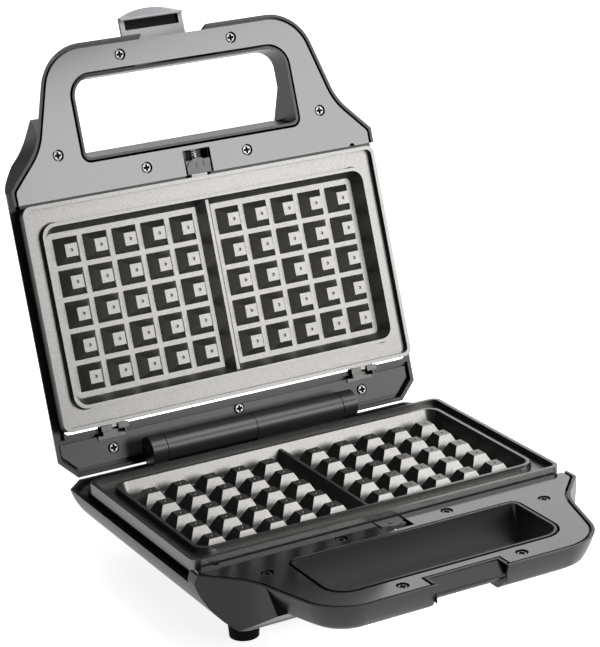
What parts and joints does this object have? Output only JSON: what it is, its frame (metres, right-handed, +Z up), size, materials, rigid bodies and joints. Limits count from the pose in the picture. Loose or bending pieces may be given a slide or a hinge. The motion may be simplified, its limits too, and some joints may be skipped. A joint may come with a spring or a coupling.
{
  "type": "waffle maker",
  "caption": "Hinged electric waffle maker, lid open: square grid plates in black housings with loop handles, front latch, screws and feet.",
  "frame": {"origin": "centre of the bounding box at the table, under the feet, lid open", "axes": "+Z up, -Y towards the handles' side in front, +Y towards the hinge and the open lid, +X to the right seen from the front"},
  "size_m": [0.237, 0.3459, 0.2748],
  "materials": {
    "housing_black": "satin",
    "cover_gloss": "glossy",
    "hinge_black": "satin",
    "pin_steel": "turned",
    "plate_coated": "satin silver-grey non-stick coating",
    "clip_steel": "stamped sheet",
    "button_grey": "satin",
    "spring_steel": "drawn wire",
    "reflector_sheet": "polished sheet",
    "element_sheath": "dull sheath",
    "thermostat_metal": "satin",
    "fuse_sleeve": "woven glass sleeve",
    "block_plastic": "matte",
    "wire_sleeve": "silicone sleeve",
    "gland_black": "matte",
    "foot_rubber": "matte",
    "screw_steel": "zinc plated",
    "board_green": "matte",
    "lens_amber": "glossy translucent",
    "latch_grey": "silver-grey gloss"
  },
  "bodies": {
    "base": {"base_housing": "housing_black", "base_inner_cover": "cover_gloss", "base_hinge_cover": "hinge_black", "hinge_pin": "pin_steel", "lower_waffle_plate": "plate_coated", "base_plate_clips": "clip_steel", "base_release_spring": "spring_steel", "base_reflector": "reflector_sheet", "base_heating_element": "element_sheath", "base_element_clamps": "clip_steel", "thermostat": "thermostat_metal", "thermal_fuse": "fuse_sleeve", "terminal_block": "block_plastic", "base_wiring": "wire_sleeve", "cord_gland": "gland_black", "feet": "foot_rubber", "base_cover_screws": "screw_steel", "base_hinge_screws": "screw_steel"},
    "lid": {"lid_housing": "housing_black", "lid_inner_cover": "cover_gloss", "lid_hinge_cover": "hinge_black", "upper_waffle_plate": "plate_coated", "lid_plate_clips": "clip_steel", "lid_release_spring": "spring_steel", "lid_reflector": "reflector_sheet", "lid_heating_element": "element_sheath", "lid_element_clamps": "clip_steel", "lamp_board": "board_green", "indicator_lenses": "lens_amber", "lid_wiring": "wire_sleeve", "lid_cover_screws": "screw_steel", "lid_hinge_screws": "screw_steel", "latch_pin": "pin_steel"},
    "latch": {"latch_lever": "latch_grey"},
    "base_button": {"base_release_button": "button_grey"},
    "lid_button": {"lid_release_button": "button_grey"}
  },
  "joints": [
    {"name": "lid_hinge", "type": "hinge", "parent": "base", "child": "lid", "pos_m": [0, 0.06219, 0.0483], "axis": [1, 0, 0], "range_deg": [0, 108.1]},
    {"name": "latch_pivot", "type": "hinge", "parent": "lid", "child": "latch", "pos_m": [0, 0.14583, 0.2511], "axis": [1, 0, 0], "range_deg": [0, 90]},
    {"name": "base_release_slide", "type": "slide", "parent": "base", "child": "base_button", "axis": [0, -1, 0], "range_m": [0, 0.0034], "stiffness_N_per_m": 400, "springref_m": -0.002, "deforming": ["base_release_spring"]},
    {"name": "lid_release_slide", "type": "slide", "parent": "lid", "child": "lid_button", "axis": [0, 0.3107, 0.9505], "range_m": [0, 0.0034], "stiffness_N_per_m": 400, "springref_m": -0.002, "deforming": ["lid_release_spring"]}
  ]
}
